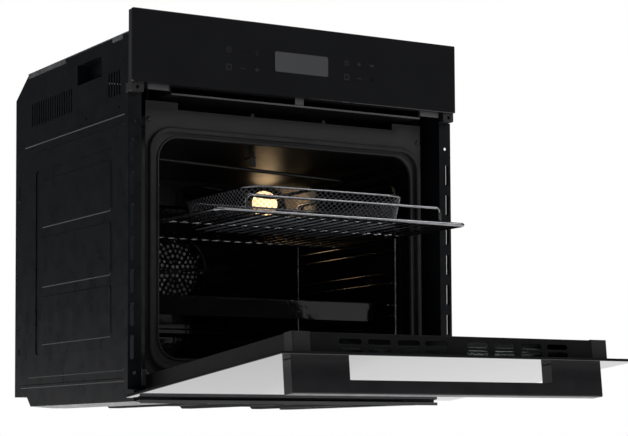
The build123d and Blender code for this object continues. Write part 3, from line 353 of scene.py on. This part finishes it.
def basket_skin():
    bm = bmesh.new()
    floor_x, floor_y, floor_r = BASKET_HALF - BASKET_SLOPE, BASKET_HALF_Y - BASKET_SLOPE, BASKET_FLOOR_TURN
    found = {}

    def corner(i, j):
        if (i, j) not in found:
            x, y, _ = inside_rounded(i * STRAND_X / 2, j * STRAND_Y / 2, floor_x, floor_y, floor_r)
            found[i, j] = bm.verts.new((x + BASKET_MIDDLE.x, y + BASKET_MIDDLE.y, BASKET_FLOOR))
        return found[i, j]

    columns, rows = int(2 * floor_x / STRAND_X) + 3, int(2 * floor_y / STRAND_Y) + 3
    for i in range(-columns, columns):
        for j in range(-rows, rows):
            if (i + j) % 2:
                continue
            x, y = i * STRAND_X / 2, j * STRAND_Y / 2
            if not inside_rounded(x, y, floor_x, floor_y, floor_r)[2]:
                continue
            quad = [corner(i + 1, j), corner(i, j + 1), corner(i - 1, j), corner(i, j - 1)]
            try:
                bm.faces.new(quad)
            except ValueError:
                pass
    steps = 2 * round(1.0 / STRAND_X)
    low = rounded_loop(floor_x, floor_y, floor_r, steps)
    high = rounded_loop(BASKET_HALF, BASKET_HALF_Y, BASKET_TURN, steps)
    levels = 2 * round((BASKET_RIM - BASKET_FLOOR) / STRAND_Y)
    wall = {}

    def wall_point(i, j):
        key = (i % steps, j)
        if key not in wall:
            t = j / levels
            a, b = low[key[0]], high[key[0]]
            wall[key] = bm.verts.new((a[0] + (b[0] - a[0]) * t + BASKET_MIDDLE.x,
                                      a[1] + (b[1] - a[1]) * t + BASKET_MIDDLE.y,
                                      BASKET_FLOOR + (BASKET_RIM - BASKET_FLOOR) * t))
        return wall[key]

    for i in range(steps):
        for j in range(1, levels):
            if (i + j) % 2:
                continue
            bm.faces.new([wall_point(i + 1, j), wall_point(i, j + 1),
                          wall_point(i - 1, j), wall_point(i, j - 1)])
    mesh = bpy.data.meshes.new("basket_mesh")
    bm.to_mesh(mesh)
    bm.free()
    return mesh


basket = piece("basket_mesh", basket_skin(), "basket_wire", "basket", smooth=False)
strands = basket.modifiers.new("strands", "WIREFRAME")
strands.thickness = STRAND_THICK
strands.use_even_offset = False
strands.use_replace = True
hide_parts("mesh_basket")


def ring(name, points, radius, slot, body, sides=8):
    """A closed round wire through the points."""
    curve = bpy.data.curves.new(name, "CURVE")
    curve.dimensions = "3D"
    curve.bevel_depth = radius
    curve.bevel_resolution = sides // 2 - 1
    spline = curve.splines.new("POLY")
    spline.points.add(len(points) - 1)
    for target, p in zip(spline.points, points):
        target.co = (*p, 1)
    spline.use_cyclic_u = True
    curve.use_fill_caps = True
    obj = bpy.data.objects.new(name, curve)
    bpy.context.scene.collection.objects.link(obj)
    curve.materials.append(MATERIALS[slot])
    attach(obj, body)
    return obj


def basket_ring(half_x, half_y, turn, level):
    """Points of one of the basket's wire rings."""
    return [(x + BASKET_MIDDLE.x, y + BASKET_MIDDLE.y, level)
            for x, y in rounded_loop(half_x, half_y, turn, 120)]


ring("basket_rim", basket_ring(BASKET_HALF, BASKET_HALF_Y, BASKET_TURN, BASKET_RIM),
     RIM_RADIUS, "chrome_wire", "basket")
ring("basket_foot", basket_ring(BASKET_HALF - BASKET_SLOPE, BASKET_HALF_Y - BASKET_SLOPE,
                                BASKET_FLOOR_TURN, BASKET_FLOOR + FOOT_LIFT),
     FOOT_RADIUS, "chrome_wire", "basket")


# ---- screw heads ----------------------------------------------------------------------
def cross_screw(name, centre, radius, height, slot, body):
    """A pan head facing the front, domed, with a cross recess."""
    bm = bmesh.new()
    rings = ((1.0, 0.0), (1.0, 0.35), (0.9, 0.75), (0.62, 0.97), (0.42, 1.0))
    sides = 32
    loops = []
    for r, h in rings:
        loops.append([bm.verts.new((centre.x + radius * r * math.cos(2 * math.pi * k / sides),
                                    centre.y - height * h,
                                    centre.z + radius * r * math.sin(2 * math.pi * k / sides)))
                      for k in range(sides)])
    for low, high in zip(loops, loops[1:]):
        for k in range(sides):
            bm.faces.new([low[k], low[(k + 1) % sides], high[(k + 1) % sides], high[k]])
    bm.faces.new(list(reversed(loops[0])))
    recess = []
    for k in range(sides):
        a = 2 * math.pi * k / sides
        arm = max(abs(math.cos(2 * a)), 0.0) ** 3
        r = radius * (0.12 + 0.24 * arm)
        recess.append(bm.verts.new((centre.x + r * math.cos(a), centre.y - height,
                                    centre.z + r * math.sin(a))))
    for k in range(sides):
        bm.faces.new([loops[-1][k], loops[-1][(k + 1) % sides], recess[(k + 1) % sides], recess[k]])
    deep = [bm.verts.new((v.co.x * 0.4 + centre.x * 0.6, centre.y - height * 0.1,
                          v.co.z * 0.4 + centre.z * 0.6)) for v in recess]
    for k in range(sides):
        bm.faces.new([recess[k], recess[(k + 1) % sides], deep[(k + 1) % sides], deep[k]])
    bm.faces.new(deep)
    bmesh.ops.recalc_face_normals(bm, faces=bm.faces)
    mesh = bpy.data.meshes.new(name)
    bm.to_mesh(mesh)
    bm.free()
    return piece(name, mesh, slot, body)


FACE_SCREW_X = 0.249
FACE_SCREW_DEPTH = 0.0255
FACE_SCREW_RADIUS = 0.0038
FACE_SCREW_HEIGHT = 0.0018
for side, label in ((-1, "left"), (1, "right")):
    for z, level in ((0.439, "top"), (0.038, "low")):
        cross_screw(f"face_screw_{label}_{level}", at(side * FACE_SCREW_X, FACE_SCREW_DEPTH, z),
                    FACE_SCREW_RADIUS, FACE_SCREW_HEIGHT, "dark_steel", "cabinet")


# ---- control panel marks ------------------------------------------------------------------
def plate(name, x, z, slot, radius=0.0008, depth=PANEL_FRONT, thick=0.00012):
    """A thin rounded rectangle lying on the panel's front."""
    cx, cz = (x[0] + x[1]) / 2, (z[0] + z[1]) / 2
    outline = rounded_loop((x[1] - x[0]) / 2, (z[1] - z[0]) / 2, radius, 64)
    verts = [at(cx + a, depth - thick, cz + b) for a, b in outline]
    verts += [at(cx + a, depth + 0.0002, cz + b) for a, b in outline]
    count = len(outline)
    faces = [list(range(count)), list(reversed(range(count, 2 * count)))]
    faces += [[k, k + count, (k + 1) % count + count, (k + 1) % count] for k in range(count)]
    return piece(name, mesh_from(verts, faces, name), slot, "cabinet", smooth=False)


plate("display_window", (-0.049, 0.049), (0.525, 0.557), "display_grey")


def stroke(name, runs, width, slot):
    """Printed line marks on the panel: each run is a list of (x, z) points."""
    verts, faces = [], []
    for run in runs:
        for (x0, z0), (x1, z1) in zip(run, run[1:]):
            length = math.hypot(x1 - x0, z1 - z0) or 1e-9
            nx, nz = -(z1 - z0) / length * width / 2, (x1 - x0) / length * width / 2
            tx, tz = (x1 - x0) / length * width / 2, (z1 - z0) / length * width / 2
            start = len(verts)
            verts += [at(x0 - tx + nx, PANEL_FRONT - 0.0001, z0 - tz + nz),
                      at(x0 - tx - nx, PANEL_FRONT - 0.0001, z0 - tz - nz),
                      at(x1 + tx - nx, PANEL_FRONT - 0.0001, z1 + tz - nz),
                      at(x1 + tx + nx, PANEL_FRONT - 0.0001, z1 + tz + nz)]
            faces.append([start, start + 1, start + 2, start + 3])
    return piece(name, mesh_from(verts, faces, name), slot, "cabinet", smooth=False)


def circle_run(cx, cz, radius, start=0, end=360, steps=20):
    span = [math.radians(start + (end - start) * k / steps) for k in range(steps + 1)]
    return [(cx + radius * math.cos(a), cz + radius * math.sin(a)) for a in span]


def key_marks(cx, cz, kind):
    r = 0.004
    return {
        "power": [circle_run(cx, cz, r, 120, 420), [(cx, cz + r * 1.3), (cx, cz)]],
        "plus": [[(cx - r, cz), (cx + r, cz)], [(cx, cz - r), (cx, cz + r)]],
        "minus": [[(cx - r, cz), (cx + r, cz)]],
        "clock": [circle_run(cx, cz, r), [(cx, cz + r * 0.6), (cx, cz), (cx + r * 0.5, cz)]],
        "fan": [circle_run(cx + r * math.cos(a) / 2, cz + r * math.sin(a) / 2, r / 2)
                for a in (math.pi / 2, math.pi * 7 / 6, math.pi * 11 / 6)],
        "box": [[(cx - r, cz - r), (cx + r, cz - r), (cx + r, cz + r), (cx - r, cz + r), (cx - r, cz - r)]],
        "lamp": [circle_run(cx, cz + 0.001, r * 0.7, -60, 240), [(cx - r / 3, cz - r), (cx + r / 3, cz - r)]],
        "arrow": [[(cx - r, cz), (cx + r, cz)],
                  [(cx + r / 3, cz + r / 2), (cx + r, cz), (cx + r / 3, cz - r / 2)]],
    }[kind]


KEYS = ((-0.132, 0.551, "power"), (-0.107, 0.551, "fan"), (-0.082, 0.551, "lamp"),
        (-0.132, 0.524, "box"), (-0.107, 0.524, "minus"), (-0.082, 0.524, "plus"),
        (0.084, 0.551, "clock"), (0.108, 0.551, "plus"), (0.132, 0.551, "arrow"),
        (0.084, 0.528, "box"), (0.108, 0.528, "minus"), (0.132, 0.528, "fan"))
for number, (x, z, kind) in enumerate(KEYS):
    stroke(f"key_mark_{number}", key_marks(x, z, kind), 0.0006, "icon_grey")


# ---- fan grille: raised ring and spokes -------------------------------------------------------
FAN_HEIGHT = 0.246
COVER_DEPTH = 0.431
GRILLE_RADIUS = 0.0615
HUB_RADIUS = 0.0135
SPOKES = 8


def fan_grille():
    """A pressed ring, a hub and eight curved spokes standing on the fan cover."""
    verts, faces = [], []

    def band(path, width, rise, closed):
        start = len(verts)
        count = len(path)
        for k, (x, z) in enumerate(path):
            x0, z0 = path[k - 1] if (closed or k) else path[k]
            x1, z1 = path[(k + 1) % count] if (closed or k < count - 1) else path[k]
            length = math.hypot(x1 - x0, z1 - z0)
            nx, nz = -(z1 - z0) / length, (x1 - x0) / length
            for side, up in ((-0.5, 0.0), (-0.25, 0.85), (0, 1.0), (0.25, 0.85), (0.5, 0.0)):
                verts.append(at(x + nx * width * side, COVER_DEPTH - rise * up,
                                FAN_HEIGHT + z + nz * width * side))
        last = count if closed else count - 1
        for k in range(last):
            a, b = start + 5 * k, start + 5 * ((k + 1) % count)
            faces.extend([a + j, a + j + 1, b + j + 1, b + j] for j in range(4))

    def circle(radius, steps=72):
        return [(radius * math.cos(2 * math.pi * k / steps), radius * math.sin(2 * math.pi * k / steps))
                for k in range(steps)]

    band(circle(GRILLE_RADIUS), 0.0034, 0.0018, True)
    band(circle(HUB_RADIUS, 40), 0.003, 0.0016, True)
    for spoke in range(SPOKES):
        turn = 2 * math.pi * spoke / SPOKES
        path = []
        for k in range(13):
            t = k / 12
            r, a = 0.0145 + (0.0600 - 0.0145) * t, turn + 0.35 * t * t
            path.append((r * math.cos(a), r * math.sin(a)))
        band(path, 0.0028, 0.0015, False)
    return piece("fan_grille", mesh_from(verts, faces, "fan_grille"), "black_enamel", "cabinet")


grille = fan_grille()
grille_depth = grille.modifiers.new("depth", "SOLIDIFY")
grille_depth.thickness = 0.0004

# ---- light strip and tabs under the control panel ------------------------------------------
GUIDE_FRONT = -0.011
GUIDE_LEVEL = 0.474


def folded_strip(name, x, low, high, front, slot, body, lip=0.0008):
    """A narrow sheet strip with a rounded lower fold, standing on the guide's front edge."""
    profile = [(front, high), (front - lip * 0.3, high - lip), (front - lip * 0.35, low + lip),
               (front - lip * 0.1, low + lip * 0.2), (front + lip, low), (front + lip * 2, low + lip * 0.4)]
    steps = 24
    verts = [at(x[0] + (x[1] - x[0]) * k / steps, d, z) for k in range(steps + 1) for d, z in profile]
    n = len(profile)
    faces = [[k * n + j, k * n + j + 1, (k + 1) * n + j + 1, (k + 1) * n + j]
             for k in range(steps) for j in range(n - 1)]
    obj = piece(name, mesh_from(verts, faces, name), slot, body)
    thick = obj.modifiers.new("thickness", "SOLIDIFY")
    thick.thickness = 0.0003
    return obj


folded_strip("guide_edge_strip", (-0.229, 0.229), GUIDE_LEVEL - 0.0018, GUIDE_LEVEL + 0.0012,
             GUIDE_FRONT, "trim_grey", "cabinet")
folded_strip("panel_tab_middle", (-0.008, 0.008), GUIDE_LEVEL + 0.0014, 0.4868, -0.0078,
             "trim_grey", "cabinet", 0.0004)
for side, label in ((-1, "left"), (1, "right")):
    folded_strip(f"panel_tab_{label}", tuple(sorted((side * 0.232, side * 0.268))),
                 GUIDE_LEVEL + 0.0042, 0.4868, -0.0078, "trim_grey", "cabinet", 0.0004)


# ---- light, floor and camera ------------------------------------------------------------------
FLOOR_LEVEL = -0.10


def sheet_floor():
    """A plain white sheet, a little below the oven, that also lights its underside."""
    bm = bmesh.new()
    bmesh.ops.create_grid(bm, x_segments=8, y_segments=8, size=9)
    mesh = bpy.data.meshes.new("floor")
    bm.to_mesh(mesh)
    bm.free()
    obj = bpy.data.objects.new("floor", mesh)
    obj.location = (0, 0, FLOOR_LEVEL)
    bpy.context.scene.collection.objects.link(obj)
    g = Graph("floor")
    g.color(g.blend(g.noise(1.5, 3), (0.80, 0.80, 0.79), (0.84, 0.84, 0.83)))
    g.roughness(g.remap(g.noise(3, 3), 0.7, 0.85))
    g.set(Emission_Strength=0.85, Emission_Color=(1, 1, 1, 1))
    mesh.materials.append(g.material)


sheet_floor()


def softbox(name, place, aim, size, power, color=(1, 1, 1)):
    data = bpy.data.lights.new(name, "AREA")
    data.shape = "RECTANGLE"
    data.size, data.size_y = size
    data.energy = power
    data.color = color
    obj = bpy.data.objects.new(name, data)
    obj.location = place
    obj.rotation_mode = "QUATERNION"
    obj.rotation_quaternion = (Vector(aim) - Vector(place)).to_track_quat("-Z", "Y")
    bpy.context.scene.collection.objects.link(obj)


softbox("key", (2.0, -2.6, 2.2), (0, -0.1, 0.3), (1.2, 1.2), 20)
softbox("side", (-3.0, 1.4, 1.2), (-0.2, 0, 0.3), (0.5, 1.6), 9)
softbox("top", (0, 0.2, 2.6), (0, 0, 0.3), (2.0, 2.0), 16)

LAMP_X = 0.196
LAMP_DEPTH = 0.425
LAMP_LEVEL = 0.375
glow = bpy.data.lights.new("oven_lamp", "POINT")
glow.energy = 0.02
glow.color = (1.0, 0.74, 0.42)
glow.shadow_soft_size = 0.02
glow_obj = bpy.data.objects.new("oven_lamp", glow)
glow_obj.location = at(LAMP_X, LAMP_DEPTH, LAMP_LEVEL)
bpy.context.scene.collection.objects.link(glow_obj)

BACKDROP_AIM = (0.5, 0.866, 0.0)
ROOM_LEVEL = 0.05


def studio_world():
    """A white backdrop seen directly; as a light it is white only beyond the oven, and the room is dim."""
    world = bpy.data.worlds.new("studio")
    world.use_nodes = True
    tree = world.node_tree
    back = tree.nodes["Background"]
    back.inputs["Color"].default_value = (1, 1, 1, 1)
    coords = tree.nodes.new("ShaderNodeTexCoord")
    aim = tree.nodes.new("ShaderNodeVectorMath")
    aim.operation = "DOT_PRODUCT"
    aim.inputs[1].default_value = BACKDROP_AIM
    tree.links.new(coords.outputs["Generated"], aim.inputs[0])
    level = tree.nodes.new("ShaderNodeMapRange")
    level.interpolation_type = "SMOOTHSTEP"
    for key, value in (("From Min", 0.78), ("From Max", 0.94), ("To Min", ROOM_LEVEL), ("To Max", 1.0)):
        level.inputs[key].default_value = value
    tree.links.new(aim.outputs["Value"], level.inputs["Value"])
    path = tree.nodes.new("ShaderNodeLightPath")
    pick = tree.nodes.new("ShaderNodeMath")
    pick.operation = "MAXIMUM"
    tree.links.new(level.outputs["Result"], pick.inputs[0])
    tree.links.new(path.outputs["Is Camera Ray"], pick.inputs[1])
    tree.links.new(pick.outputs["Value"], back.inputs["Strength"])
    bpy.context.scene.world = world


studio_world()
bpy.context.scene.view_settings.view_transform = "Standard"

camera_data = bpy.data.cameras.new("camera")
camera_data.sensor_width = 36
camera_data.lens = 110.13
camera_data.shift_x = 0.0153
camera_data.shift_y = 0.1588
camera_data.clip_end = 60
camera = bpy.data.objects.new("camera", camera_data)
camera.location = (-1.5400, -2.8725, -0.0643)
camera.rotation_euler = [math.radians(a) for a in (93.788, 0.270, -30.599)]
bpy.context.scene.collection.objects.link(camera)
bpy.context.scene.camera = camera
